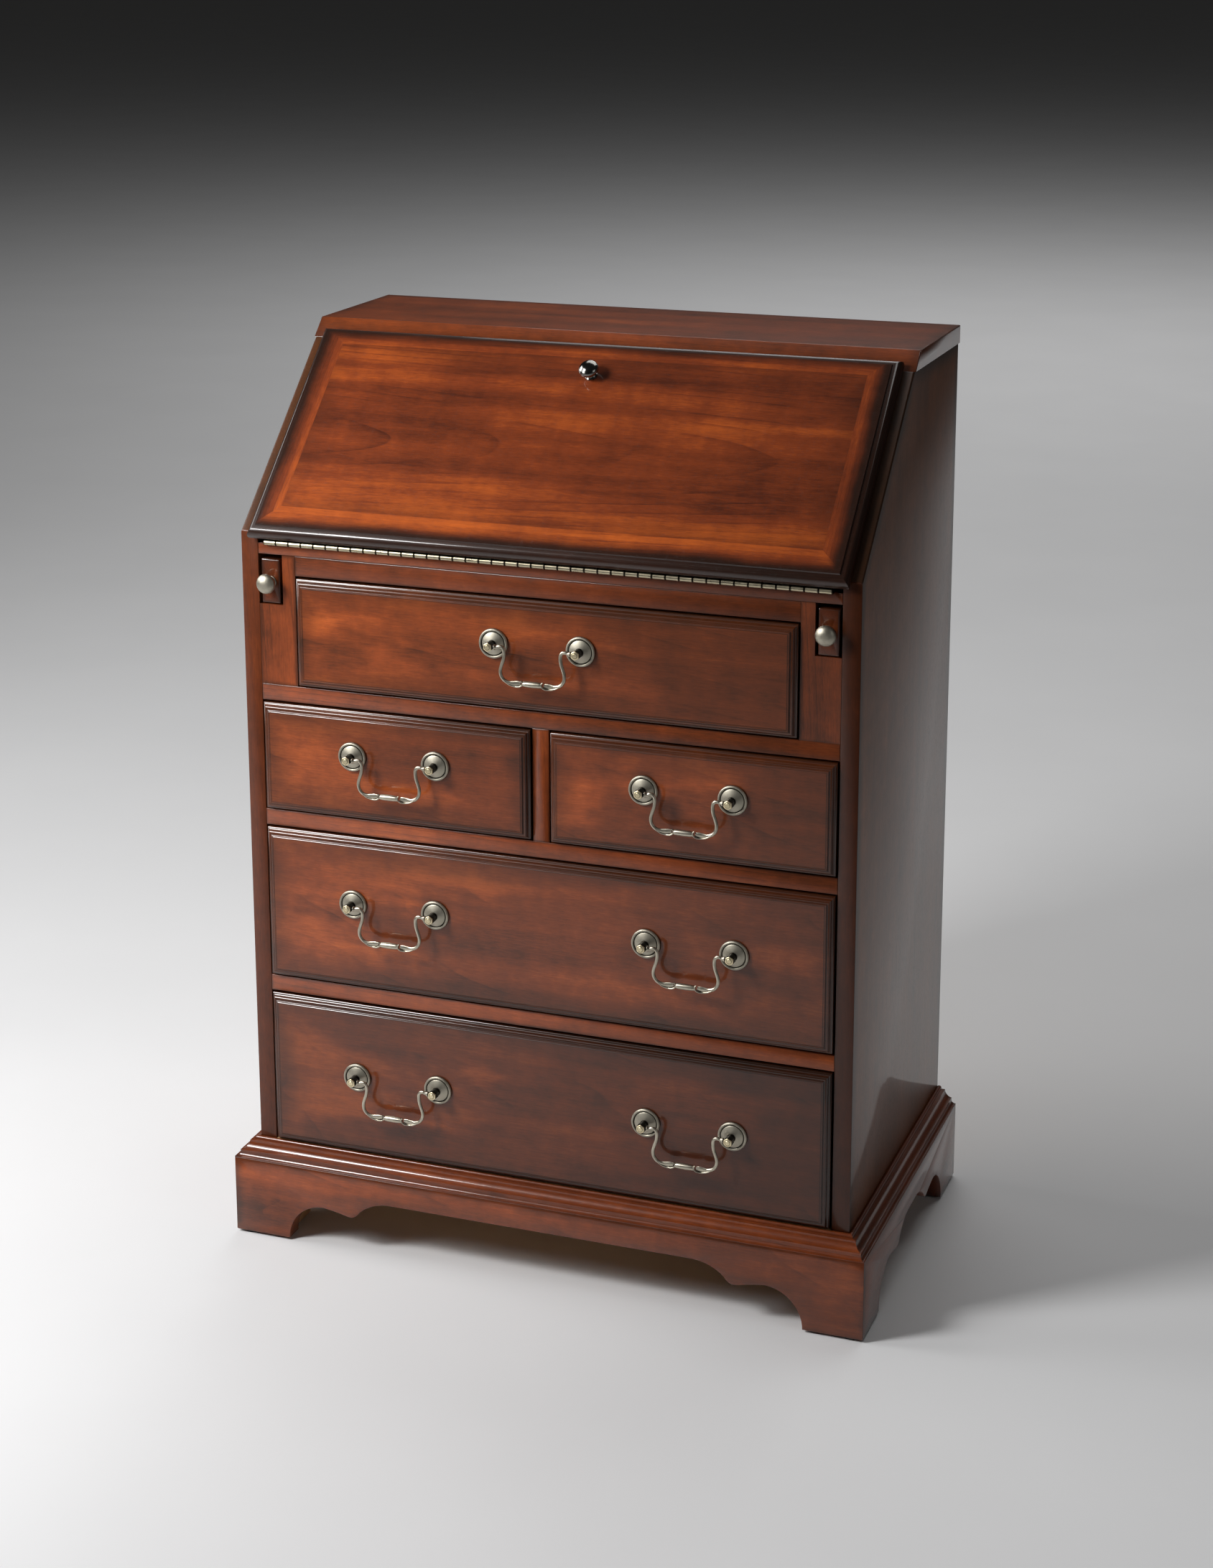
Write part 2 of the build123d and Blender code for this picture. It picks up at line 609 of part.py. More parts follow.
def base():
    half = CASE_WIDTH / 2
    outer = half + PLINTH
    tall = (0, 2 * PLINTH_TOP)
    front_plan = prism_z(polygon((-outer, -PLINTH), (outer, -PLINTH), (half, 0), (-half, 0)), tall)
    side_plan = prism_z(polygon((outer, -PLINTH), (outer, CASE_DEPTH), (half, CASE_DEPTH), (half, 0)), tall)

    on_glides = Pos(0, 0, GLIDE_HEIGHT)
    front = on_glides * prism_y(apron(2 * outer), (-PLINTH, 0)) & front_plan
    side_length = CASE_DEPTH + PLINTH
    side_face = Pos(CASE_DEPTH - side_length / 2, 0) * apron(side_length)
    side = on_glides * prism_x(side_face, (half, outer)) & side_plan
    save("plinth_front", front)
    save("plinth_right", side)
    save("plinth_left", mirrored_x(side))
    rear = prism_y(apron(CASE_WIDTH), (CASE_DEPTH - BOARD, CASE_DEPTH))
    below_panels = block((-half, half), (0, CASE_DEPTH), (0, PANEL_FOOT - GLIDE_HEIGHT))
    save("plinth_back", on_glides * (rear & below_panels))

    section = moulding_section()
    front_run = prism_x(mirror(section, Plane.YZ), (-outer, outer)) & front_plan
    side_run = Pos(half, 0, 0) * prism_y(section, (-PLINTH, CASE_DEPTH)) & side_plan
    save("base_moulding_front", front_run)
    save("base_moulding_right", side_run)
    save("base_moulding_left", mirrored_x(side_run))

    inner = half - CORNER_BLOCK
    rear_face = CASE_DEPTH - BOARD
    height = (GLIDE_HEIGHT + 2, PANEL_FOOT)
    blocks = both_sides(block((inner, half), (0, CORNER_BLOCK), height))
    blocks += both_sides(block((inner, half), (rear_face - CORNER_BLOCK, rear_face), height))
    save("corner_blocks", *blocks)

    disc = Cylinder(GLIDE_RADIUS, GLIDE_HEIGHT)
    disc = chamfer(disc.faces().sort_by(Axis.Z)[0].edges(), 0.8)
    places = [(outer - PLINTH / 2 - 4, -PLINTH / 2), (outer - PLINTH / 2, CASE_DEPTH - PLINTH / 2)]
    glides = []
    for x, y in places:
        glides += both_sides(Pos(x, y, GLIDE_HEIGHT / 2) * disc)
    save("foot_glides", *glides)


# ================================================================ inside the slant
def gallery():
    shelf_low = GALLERY_SHELF - GALLERY_BOARD
    save("gallery_shelf", block((-INNER, INNER), (GALLERY_FRONT, BACK_FACE), (shelf_low, GALLERY_SHELF)))
    solids = []
    rows = ((WRITING_HEIGHT, shelf_low, 3), (GALLERY_SHELF, CASE_TOP, 5))
    for low, high, bays in rows:
        middle = (low + high) / 2
        face = outline(
            ((BACK_FACE, low), (BACK_FACE, high)),
            ((BACK_FACE, high), (GALLERY_FRONT, high)),
            ((GALLERY_FRONT, high), (GALLERY_FRONT + SCALLOP, middle), (GALLERY_FRONT, low)),
            ((GALLERY_FRONT, low), (BACK_FACE, low)),
        )
        for bay in range(1, bays):
            x = -INNER + 2 * INNER * bay / bays
            solids.append(prism_x(face, (x - GALLERY_BOARD / 2, x + GALLERY_BOARD / 2)))
    save("gallery_dividers", *solids)


carcass()
runners()
lopers()
lid_and_hinge()
drawers()
base()
gallery()

os.makedirs("parts", exist_ok=True)
for name, solid in pieces.items():
    export_step(solid, f"parts/{name}.step")
print(len(pieces), "nodes")
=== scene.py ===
import json
import math

import bmesh
import bpy
from mathutils import Matrix, Vector


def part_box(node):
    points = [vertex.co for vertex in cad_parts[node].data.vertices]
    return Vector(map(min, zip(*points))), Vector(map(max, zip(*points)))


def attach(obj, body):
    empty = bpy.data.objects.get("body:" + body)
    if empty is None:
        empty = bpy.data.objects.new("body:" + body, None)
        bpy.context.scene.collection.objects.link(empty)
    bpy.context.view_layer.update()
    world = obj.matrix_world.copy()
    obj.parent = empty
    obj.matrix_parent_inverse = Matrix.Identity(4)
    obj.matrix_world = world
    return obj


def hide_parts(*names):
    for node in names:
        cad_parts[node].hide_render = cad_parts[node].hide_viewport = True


# Slant-front secretary desk in burnished cherry. Metres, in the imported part's frame: X to the right, -Y to
# the front, Z up, with the origin in the middle of the footprint on the floor.
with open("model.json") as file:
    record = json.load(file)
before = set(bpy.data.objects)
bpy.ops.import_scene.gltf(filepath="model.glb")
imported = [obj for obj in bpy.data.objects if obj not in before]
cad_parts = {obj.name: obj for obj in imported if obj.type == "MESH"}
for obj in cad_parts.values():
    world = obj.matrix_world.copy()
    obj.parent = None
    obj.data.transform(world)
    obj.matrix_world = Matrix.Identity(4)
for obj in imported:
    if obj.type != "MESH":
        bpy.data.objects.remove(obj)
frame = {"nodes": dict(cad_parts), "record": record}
NODES = frame["nodes"]
BODY_OF = {name: body for body, names in frame["record"]["behaviour"]["bodies"].items() for name in names}
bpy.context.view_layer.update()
MM = 0.001


# ================================================================ where things are
def middle(node):
    low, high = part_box(node)
    return (low + high) / 2


def lid_slope():
    """Angle of the slant, from the lid panel's largest flat face."""
    mesh = NODES["lid_panel"].data
    mesh.calc_loop_triangles()
    largest = max(mesh.loop_triangles, key=lambda triangle: triangle.area)
    normal = largest.normal
    return math.atan2(abs(normal.y), abs(normal.z))


def up_and_out(tilt):
    """Directions up a face that leans back by this angle from level, and straight out of it."""
    return Vector((0, math.cos(tilt), math.sin(tilt))), Vector((0, -math.sin(tilt), math.cos(tilt)))


def lid_extent():
    """Where the lid starts and ends up the slant, and how far out its outer face is."""
    up, out = up_and_out(SLANT)
    points = [vertex.co for vertex in NODES["lid_panel"].data.vertices]
    along = [point.dot(up) for point in points]
    return min(along), max(along), max(point.dot(out) for point in points)


SLANT = lid_slope()
LID_LOW, LID_HIGH, LID_OUT = lid_extent()
FIELD_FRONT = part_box("top_drawer_front")[0].y    # the drawer fronts' flat faces


# ================================================================ node graphs
class Graph:
    """A small builder for shader node trees."""

    def __init__(self, tree):
        self.tree = tree

    def add(self, kind, **settings):
        node = self.tree.nodes.new("ShaderNode" + kind)
        for name, value in settings.items():
            setattr(node, name, value)
        return node

    def put(self, socket, value):
        if isinstance(value, bpy.types.NodeSocket):
            self.tree.links.new(value, socket)
        elif isinstance(value, (tuple, list)) and len(value) == 3 and socket.type == "RGBA":
            socket.default_value = (*value, 1.0)
        else:
            socket.default_value = value

    def math(self, operation, *values, clamp=False):
        node = self.add("Math", operation=operation, use_clamp=clamp)
        for socket, value in zip(node.inputs, values):
            self.put(socket, value)
        return node.outputs[0]

    def mix(self, factor, a, b, blend="MIX"):
        node = self.add("Mix", data_type="RGBA", blend_type=blend)
        for socket, value in zip((node.inputs[0], node.inputs[6], node.inputs[7]), (factor, a, b)):
            self.put(socket, value)
        return node.outputs[2]

    def smooth(self, value, low, high, to_low=0.0, to_high=1.0):
        """Smooth step from one value to another as the input goes from low to high."""
        node = self.add("MapRange", interpolation_type="SMOOTHSTEP")
        for socket, given in zip(node.inputs, (value, low, high, to_low, to_high)):
            self.put(socket, given)
        return node.outputs[0]

    def noise(self, vector, scale, detail=2.0, roughness=0.5, distortion=0.0):
        node = self.add("TexNoise")
        self.put(node.inputs["Vector"], vector)
        self.put(node.inputs["Scale"], scale)
        self.put(node.inputs["Detail"], detail)
        self.put(node.inputs["Roughness"], roughness)
        self.put(node.inputs["Distortion"], distortion)
        return node.outputs["Fac"]

    def scaled(self, vector, scale, location=(0, 0, 0), rotation=(0, 0, 0)):
        node = self.add("Mapping")
        self.put(node.inputs["Vector"], vector)
        node.inputs["Scale"].default_value = scale
        node.inputs["Location"].default_value = location
        node.inputs["Rotation"].default_value = rotation
        return node.outputs[0]

    def ramp(self, value, stops):
        node = self.add("ValToRGB")
        self.put(node.inputs[0], value)
        elements = node.color_ramp.elements
        while len(elements) < len(stops):
            elements.new(0.5)
        for element, (position, colour) in zip(elements, stops):
            element.position = position
            element.color = (*colour, 1.0)
        return node.outputs[0]

    def pulse(self, value, centre, width, soft):
        """One inside a band of the given width round the centre, falling to zero over the soft distance."""
        away = self.math("ABSOLUTE", self.math("SUBTRACT", value, centre))
        return self.smooth(away, width / 2 - soft / 2, width / 2 + soft / 2, 1.0, 0.0)


def srgb(red, green, blue):
    """Linear colour from the usual 0 to 255 values."""
    def linear(value):
        value /= 255
        return value / 12.92 if value <= 0.04045 else ((value + 0.055) / 1.055) ** 2.4

    return linear(red), linear(green), linear(blue)


def new_material(name):
    material = bpy.data.materials.new(name)
    material.use_nodes = True
    graph = Graph(material.node_tree)
    shader = material.node_tree.nodes["Principled BSDF"]
    return material, graph, shader


# ================================================================ cherry
def cherry_group():
    """Figure of stained cherry. Vector is along the grain, across it and through the board, in metres."""
    tree = bpy.data.node_groups.new("cherry_figure", "ShaderNodeTree")
    tree.interface.new_socket("Vector", in_out="INPUT", socket_type="NodeSocketVector")
    tree.interface.new_socket("Contrast", in_out="INPUT", socket_type="NodeSocketFloat")
    for name in ("Tone", "Fibre"):
        tree.interface.new_socket(name, in_out="OUTPUT", socket_type="NodeSocketFloat")
    graph = Graph(tree)
    given = tree.nodes.new("NodeGroupInput")
    vector = given.outputs["Vector"]

    # growth rings about a line that leans slowly across the board, which gives long arches on its face
    wobble = graph.noise(graph.scaled(vector, (1.5, 12, 12)), 1.0, 2.0, 0.5)
    leaning = graph.scaled(vector, (1, 1, 1), rotation=(0, -0.05, 0))
    rings = graph.add("SeparateXYZ")
    graph.put(rings.inputs[0], leaning)
    across = graph.math("MULTIPLY", rings.outputs[1], rings.outputs[1])
    through = graph.math("MULTIPLY", rings.outputs[2], rings.outputs[2])
    radius = graph.math("SQRT", graph.math("ADD", across, through))
    count = graph.math("MULTIPLY_ADD", wobble, 1.9, graph.math("MULTIPLY", radius, 150.0))
    phase = graph.math("FRACT", count)
    late = graph.math("POWER", phase, 7.0)
    sharp_end = graph.smooth(phase, 0.97, 1.0, 1.0, 0.0)
    line = graph.math("MULTIPLY", late, sharp_end)
    line_strength = graph.noise(graph.scaled(vector, (7, 40, 40)), 1.0, 2.0)
    line = graph.math("MULTIPLY", line, graph.smooth(line_strength, 0.42, 0.68))

    # soft streaks of stain, mottling across the grain, fine fibres and short pores
    streaks = graph.noise(graph.scaled(vector, (1.6, 30, 30)), 1.0, 3.0, 0.55, 0.25)
    clouds = graph.noise(graph.scaled(vector, (7, 15, 15)), 1.0, 3.0, 0.55)
    mottle = graph.noise(graph.scaled(vector, (42, 30, 30)), 1.0, 3.0, 0.6)
    flecks = graph.noise(graph.scaled(vector, (90, 620, 620)), 1.0, 2.0, 0.6)
    fibres = graph.noise(graph.scaled(vector, (26, 1500, 1500)), 1.0, 2.0, 0.65)
    pores = graph.noise(graph.scaled(vector, (190, 2600, 2600)), 1.0, 1.0)
    pores = graph.smooth(pores, 0.62, 0.74)

    streaks = graph.math("MULTIPLY", graph.math("SUBTRACT", streaks, 0.5), given.outputs["Contrast"])
    clouds = graph.math("MULTIPLY", graph.math("SUBTRACT", clouds, 0.5), given.outputs["Contrast"])
    tone = graph.math("MULTIPLY_ADD", clouds, 0.6, graph.math("MULTIPLY_ADD", streaks, 1.2, 0.55))
    tone = graph.math("MULTIPLY_ADD", graph.math("SUBTRACT", mottle, 0.5), 0.3, tone)
    tone = graph.math("MULTIPLY_ADD", graph.math("SUBTRACT", flecks, 0.5), 0.26, tone)
    tone = graph.math("MULTIPLY_ADD", graph.math("SUBTRACT", fibres, 0.5), 0.2, tone)
    tone = graph.math("MULTIPLY_ADD", graph.math("MULTIPLY", line, given.outputs["Contrast"]), -0.28, tone)
    tone = graph.math("MULTIPLY_ADD", pores, -0.1, tone)
    fibre = graph.math("SUBTRACT", fibres, graph.math("MULTIPLY", pores, 0.8))

    out = tree.nodes.new("NodeGroupOutput")
    graph.put(out.inputs["Tone"], tone)
    graph.put(out.inputs["Fibre"], fibre)
    return tree


CHERRY = cherry_group()
STAIN = (
    (0.0, srgb(38, 20, 13)),
    (0.34, srgb(76, 39, 24)),
    (0.62, srgb(122, 61, 34)),
    (1.0, srgb(182, 98, 52)),
)
LID_STAIN = (
    (0.0, srgb(42, 18, 10)),
    (0.34, srgb(82, 35, 17)),
    (0.62, srgb(125, 55, 24)),
    (1.0, srgb(190, 92, 33)),
)
# dark colour for glazing and for painted shade on the wood
GLAZE_AND_SHADE = srgb(26, 16, 10)
WARMTH = (1.14, 0.98, 0.65)
# tint of the sides' faces: greyer and less red, a painted sheen
SIDE_SHEEN_TINT = (0.84, 1.06, 0.78)


def grain_vector(graph, grain, seed, slope=0.0):
    """Row-frame position turned so that its first axis runs along the grain, and moved for each board."""
    place = graph.add("TexCoord").outputs["Object"]
    if slope:
        turn = graph.add("VectorRotate", rotation_type="X_AXIS")
        graph.put(turn.inputs["Vector"], place)
        graph.put(turn.inputs["Angle"], -slope)
        place = turn.outputs[0]
    parts = graph.add("SeparateXYZ")
    graph.put(parts.inputs[0], place)
    ordered = {"x": (0, 2, 1), "y": (1, 2, 0), "z": (2, 1, 0)}[grain]
    if slope:
        ordered = (0, 1, 2) if grain == "x" else (1, 0, 2)
    joined = graph.add("CombineXYZ")
    for socket, index in zip(joined.inputs, ordered):
        graph.put(socket, parts.outputs[index])
    return graph.scaled(joined.outputs[0], (1, 1, 1), location=seed), parts


def cherry_figure(graph, vector, contrast=0.6):
    figure = graph.add("Group", node_tree=CHERRY)
    graph.put(figure.inputs["Vector"], vector)
    figure.inputs["Contrast"].default_value = contrast
    return figure.outputs["Tone"], figure.outputs["Fibre"]


CASE_COAT = 0.65
SIDE_COAT = 0.35


def finish_wood(graph, shader, colour, fibre, roughness=0.34, coat=CASE_COAT, smoothed=None):
    """Rubbed lacquer over the wood. Where smoothed is one, the lacquer hides the fibres."""
    graph.put(shader.inputs["Base Color"], colour)
    graph.put(shader.inputs["Roughness"], graph.math("MULTIPLY_ADD", fibre, -0.09, roughness + 0.045))
    shader.inputs["Specular IOR Level"].default_value = 0.25
    shader.inputs["Coat Weight"].default_value = coat
    shader.inputs["Coat Roughness"].default_value = 0.07
    shader.inputs["Coat IOR"].default_value = 1.5
    bump = graph.add("Bump")
    bump.inputs["Strength"].default_value = 0.35
    bump.inputs["Distance"].default_value = 0.00012
    relief = fibre
    if smoothed is not None:
        relief = graph.math("MULTIPLY", fibre, graph.math("SUBTRACT", 1.0, smoothed))
    graph.put(bump.inputs["Height"], relief)
    graph.put(shader.inputs["Normal"], bump.outputs[0])


def seed_of(number):
    """A place in the log for each board, so that no two show the same figure."""
    turns = number * 2.399
    return (0.83 * number, 0.021 * math.sin(turns), 0.052 + 0.011 * math.cos(turns))


def edge_distance(graph, parts, centre, half, axes):
    """Distance in from the nearest edge of a rectangle, on the two named axes of the separated position."""
    distances = []
    for axis in axes:
        away = graph.math("ABSOLUTE", graph.math("SUBTRACT", parts.outputs[axis], centre[axis]))
        distances.append(graph.math("SUBTRACT", half[axis], away))
    return graph.math("MINIMUM", distances[0], distances[-1])


def slant_distance(graph, parts, node):
    """Distance in from the slanted edge of a side of the case."""
    out = up_and_out(SLANT)[1]
    reach = max(vertex.co.dot(out) for vertex in NODES[node].data.vertices)
    forward = graph.math("MULTIPLY_ADD", parts.outputs[1], -out.y, reach)
    return graph.math("MULTIPLY_ADD", parts.outputs[2], -out.z, forward)


def board_material(name, node, number, grain, face, reach, depth, lightness, contrast):
    """Cherry for one board, with its edges darkened by glazing and painted shade on the two axes of its main
    face.

    Front boards also take painted shade deepening to the right; side faces are less red than their front
    edges, a painted sheen.
    """
    material, graph, shader = new_material(name)
    vector, parts = grain_vector(graph, grain, seed_of(number))
    tone, fibre = cherry_figure(graph, vector, contrast)
    colour = graph.ramp(tone, STAIN)
    low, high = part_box(node)
    inward = edge_distance(graph, parts, (low + high) / 2, (high - low) / 2, face)
    is_side = node.endswith("side_panel")
    if is_side:
        inward = graph.math("MINIMUM", inward, slant_distance(graph, parts, node))
    uneven = graph.noise(graph.scaled(vector, (22, 60, 60)), 1.0, 3.0, 0.6)
    inward = graph.math("MULTIPLY_ADD", graph.math("SUBTRACT", uneven, 0.5), reach * 0.9, inward)
    glaze_and_shade = graph.smooth(inward, 0.0, reach, depth, 0.0)
    # front boards: painted shade that deepens towards the right, away from the light
    if face == (0, 2):
        glaze_and_shade = graph.math("MAXIMUM", glaze_and_shade, graph.smooth(parts.outputs[0], -0.1, 0.34, 0.0, 0.4))
    colour = graph.mix(glaze_and_shade, colour, GLAZE_AND_SHADE)
    warmth = tuple(lightness * share for share in WARMTH)
    if is_side:
        # side faces take the greyer, less red tint as a painted sheen; their front edges keep the front's tint
        front_edge = graph.math("LESS_THAN", parts.outputs[1], low.y + 0.0008)
        warmth = graph.mix(front_edge, tuple(lightness * share for share in SIDE_SHEEN_TINT), warmth)
    colour = graph.mix(1.0, colour, warmth, "MULTIPLY")
    finish_wood(graph, shader, colour, fibre, coat=SIDE_COAT if is_side else CASE_COAT)
    return material


MOULDING_END = (0.0076, 0.0094)    # in from a drawer front's edge, where its moulding gives way to the field


def drawer_material(name, node, number, lightness, shade_from):
    """Drawer front: rubbed bright at the left, glazing and painted shade darker to the right and nearly black
    on the moulded border.
    """
    material, graph, shader = new_material(name)
    vector, parts = grain_vector(graph, "x", seed_of(number))
    tone, fibre = cherry_figure(graph, vector, 0.55)
    low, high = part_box(node)
    centre, half = (low + high) / 2, (high - low) / 2
    inward = edge_distance(graph, parts, centre, half, (0, 2))
    cloud = graph.noise(graph.scaled(vector, (6, 17, 17)), 1.0, 3.0, 0.6)
    cloud = graph.math("SUBTRACT", cloud, 0.5)
    across = graph.math("MULTIPLY_ADD", cloud, 1.1, graph.math("SUBTRACT", parts.outputs[0], low.x))
    rubbed = graph.smooth(across, 0.02, 0.2, 1.0, 0.0)
    tone = graph.math("MULTIPLY_ADD", rubbed, 0.13, tone)
    colour = graph.ramp(tone, STAIN)
    clouded = graph.math("MULTIPLY_ADD", cloud, 0.05, inward)
    shade = graph.smooth(clouded, 0.004, 0.045, 0.6, 0.0)
    # painted shade and glazing deepen away from the rubbed patch and towards the right
    shade = graph.math("MAXIMUM", shade, graph.math("MULTIPLY_ADD", rubbed, -0.24, 0.26))
    rightward = graph.math("MULTIPLY_ADD", cloud, 0.5, parts.outputs[0])
    shade_and_glazing_to_right = graph.smooth(rightward, shade_from, shade_from + 0.32, 0.0, 0.62)
    shade = graph.math("MAXIMUM", shade, shade_and_glazing_to_right)
    # the moulded border is made nearly black with glazing and painted shade; painted shade is darkest in the
    # groove by the field and along the outer lip
    border = graph.smooth(inward, *MOULDING_END, 0.78, 0.0)
    groove = graph.math("MULTIPLY", graph.pulse(inward, 0.0088, 0.0012, 0.0008), 0.85)
    lip = graph.smooth(inward, 0.0014, 0.003, 0.85, 0.0)
    glaze_and_shade = graph.math("MAXIMUM", graph.math("MAXIMUM", shade, border), graph.math("MAXIMUM", groove, lip))
    colour = graph.mix(glaze_and_shade, colour, GLAZE_AND_SHADE)
    colour = graph.mix(1.0, colour, tuple(lightness * share for share in WARMTH), "MULTIPLY")
    moulded = graph.smooth(inward, *MOULDING_END, 1.0, 0.0)
    finish_wood(graph, shader, colour, fibre, smoothed=moulded)
    return material


BAND_FROM_SIDE, BAND_FROM_LOW, BAND_FROM_HIGH = 0.0235, 0.0265, 0.0165    # in from the lid's edges
BAND_WIDTH = 0.0078


def lid_material():
    """Lid: bright field inside a slightly lighter mitred band, with a nearly black border of glazing and
    painted shade outside it.
    """
    material, graph, shader = new_material("lid_cherry")
    vector, parts = grain_vector(graph, "x", (0.33, -LID_LOW - 0.128, 0.06 - LID_OUT), SLANT)
    turned = grain_vector(graph, "y", (0.1, 0.02, 0.09 - LID_OUT), SLANT)[0]
    field_tone, fibre = cherry_figure(graph, vector, 0.85)
    band_tone = cherry_figure(graph, turned, 0.6)[0]

    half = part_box("lid_panel")[1].x
    across = graph.math("ABSOLUTE", parts.outputs[0])
    painted_shade_narrower_left = graph.smooth(parts.outputs[0], -0.1, 0.1, 0.004, 0.0)
    from_side = graph.math("SUBTRACT", half - BAND_FROM_SIDE, across)
    from_low = graph.math("SUBTRACT", parts.outputs[1], LID_LOW + BAND_FROM_LOW)
    from_high = graph.math("SUBTRACT", LID_HIGH - BAND_FROM_HIGH, parts.outputs[1])
    from_end = graph.math("MINIMUM", from_low, from_high)
    inward = graph.math("MINIMUM", from_side, from_end)
    upright = graph.math("LESS_THAN", from_side, from_end)
    upright = graph.math("MULTIPLY", upright, graph.math("LESS_THAN", inward, 0.0075))

    tone = graph.add("Mix", data_type="FLOAT")
    graph.put(tone.inputs[0], upright)
    graph.put(tone.inputs[2], field_tone)
    graph.put(tone.inputs[3], band_tone)
    band = graph.pulse(inward, 0.0036, 0.0074, 0.0016)
    low_light = graph.smooth(from_low, 0.0, 0.09, 0.1, 0.0)
    value = graph.math("ADD", graph.math("MULTIPLY_ADD", band, 0.1, tone.outputs[0]), low_light)
    colour = graph.ramp(value, LID_STAIN)
    seam = graph.math("MULTIPLY", graph.pulse(inward, BAND_WIDTH, 0.0006, 0.0005), 0.3)
    cloud = graph.noise(graph.scaled(vector, (7, 20, 20)), 1.0, 3.0, 0.6)
    cloud = graph.math("SUBTRACT", cloud, 0.5)
    # the dark border is glazing with painted shade, kept narrower at the left so it reaches furthest in at the
    # right
    near_side = graph.math("ADD", from_side, painted_shade_narrower_left)
    near_low = graph.math("ADD", from_low, 0.0055)
    near_edge = graph.math("MINIMUM", near_side, graph.math("MINIMUM", near_low, from_high))
    ragged = graph.math("MULTIPLY_ADD", cloud, 0.012, near_edge)
    border = graph.smooth(ragged, -0.011, 0.003, 0.93, 0.0)
    clouded = graph.math("MULTIPLY_ADD", cloud, 0.09, inward)
    shade = graph.smooth(clouded, -0.012, 0.04, 0.42, 0.0)
    shade = graph.math("MULTIPLY", shade, graph.math("GREATER_THAN", inward, BAND_WIDTH))
    glaze_and_shade = graph.math("MAXIMUM", graph.math("MAXIMUM", seam, border), shade)
    finish_wood(graph, shader, graph.mix(glaze_and_shade, colour, GLAZE_AND_SHADE), fibre, 0.33)
    return material


def secondary_material(name, node, number, grain):
    """Pale, thinly lacquered poplar for the pieces inside."""
    material, graph, shader = new_material(name)
    vector = grain_vector(graph, grain, seed_of(number))[0]
    tone, fibre = cherry_figure(graph, vector)
    stops = ((0.0, srgb(120, 84, 52)), (0.5, srgb(176, 134, 90)), (1.0, srgb(208, 172, 126)))
    graph.put(shader.inputs["Base Color"], graph.ramp(tone, stops))
    graph.put(shader.inputs["Roughness"], graph.math("MULTIPLY_ADD", fibre, -0.12, 0.62))
    bump = graph.add("Bump")
    bump.inputs["Strength"].default_value = 0.4
    bump.inputs["Distance"].default_value = 0.00015
    graph.put(bump.inputs["Height"], fibre)
    graph.put(shader.inputs["Normal"], bump.outputs[0])
    return material


# ================================================================ metal and plastic
def metal_material(name, light, dark, roughness, relief=0.2):
    """Cast metal with a brushed-back patina: dark in its hollows, bright where it is handled."""
    material, graph, shader = new_material(name)
    place = graph.add("TexCoord").outputs["Object"]
    cloud = graph.noise(place, 160.0, 3.0, 0.6)
    grain = graph.noise(place, 900.0, 2.0, 0.6)
    hollow = graph.add("AmbientOcclusion", samples=8)
    hollow.inputs["Distance"].default_value = 0.006
    open_air = graph.smooth(hollow.outputs["AO"], 0.3, 0.82)
    wear = graph.math("MULTIPLY", open_air, graph.smooth(cloud, 0.2, 0.6, 0.78, 1.0))
    graph.put(shader.inputs["Base Color"], graph.mix(wear, dark, light))
    shader.inputs["Metallic"].default_value = 1.0
    graph.put(shader.inputs["Roughness"], graph.math("MULTIPLY_ADD", cloud, 0.16, roughness - 0.08))
    bump = graph.add("Bump")
    bump.inputs["Strength"].default_value = relief
    bump.inputs["Distance"].default_value = 0.00008
    graph.put(bump.inputs["Height"], grain)
    graph.put(shader.inputs["Normal"], bump.outputs[0])
    return material


def hinge_material():
    """The same metal, with painted shade where each knuckle of the hinge meets the next."""
    material = metal_material("hinge_nickel", srgb(186, 176, 150), srgb(34, 29, 22), 0.3)
    graph = Graph(material.node_tree)
    shader = material.node_tree.nodes["Principled BSDF"]
    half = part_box("hinge_pin")[1].x
    parts = graph.add("SeparateXYZ")
    graph.put(parts.inputs[0], graph.add("TexCoord").outputs["Object"])
    along = graph.math("ADD", parts.outputs[0], half)
    # painted shade in the gaps between the knuckles
    from_joint = graph.math("PINGPONG", along, half / KNUCKLES)
    knuckle_gap_shade = graph.smooth(from_joint, 0.0006, 0.0015, 0.94, 0.0)
    clean = shader.inputs["Base Color"].links[0].from_socket
    graph.put(shader.inputs["Base Color"], graph.mix(knuckle_gap_shade, clean, srgb(18, 14, 11)))
    return material


def plastic_material():
    material, graph, shader = new_material("glide_black")
    place = graph.add("TexCoord").outputs["Object"]
    cloud = graph.noise(place, 700.0, 2.0)
    graph.put(shader.inputs["Base Color"], graph.mix(cloud, (0.008, 0.008, 0.008), (0.022, 0.021, 0.02)))
    graph.put(shader.inputs["Roughness"], graph.math("MULTIPLY_ADD", cloud, 0.2, 0.4))
    return material


KNUCKLES = 43                      # along the whole length of the lid's hinge
PEWTER = metal_material("antique_pewter", srgb(172, 166, 151), srgb(16, 14, 11), 0.46)
RUBBED_PEWTER = metal_material("rubbed_pewter", srgb(188, 181, 164), srgb(22, 19, 16), 0.34)
WORN_NICKEL = metal_material("worn_nickel", srgb(226, 212, 176), srgb(60, 52, 40), 0.4)
# dark metal for the post's shaft and the sides of its head, as painted shade
SHAFT_SHADE_METAL = metal_material("shaft_painted_shade", srgb(46, 42, 36), srgb(12, 10, 8), 0.4)
BURNISHED = metal_material("burnished_steel", srgb(142, 140, 135), srgb(26, 25, 24), 0.16, 0.03)
HINGE = hinge_material()
GLIDE = plastic_material()
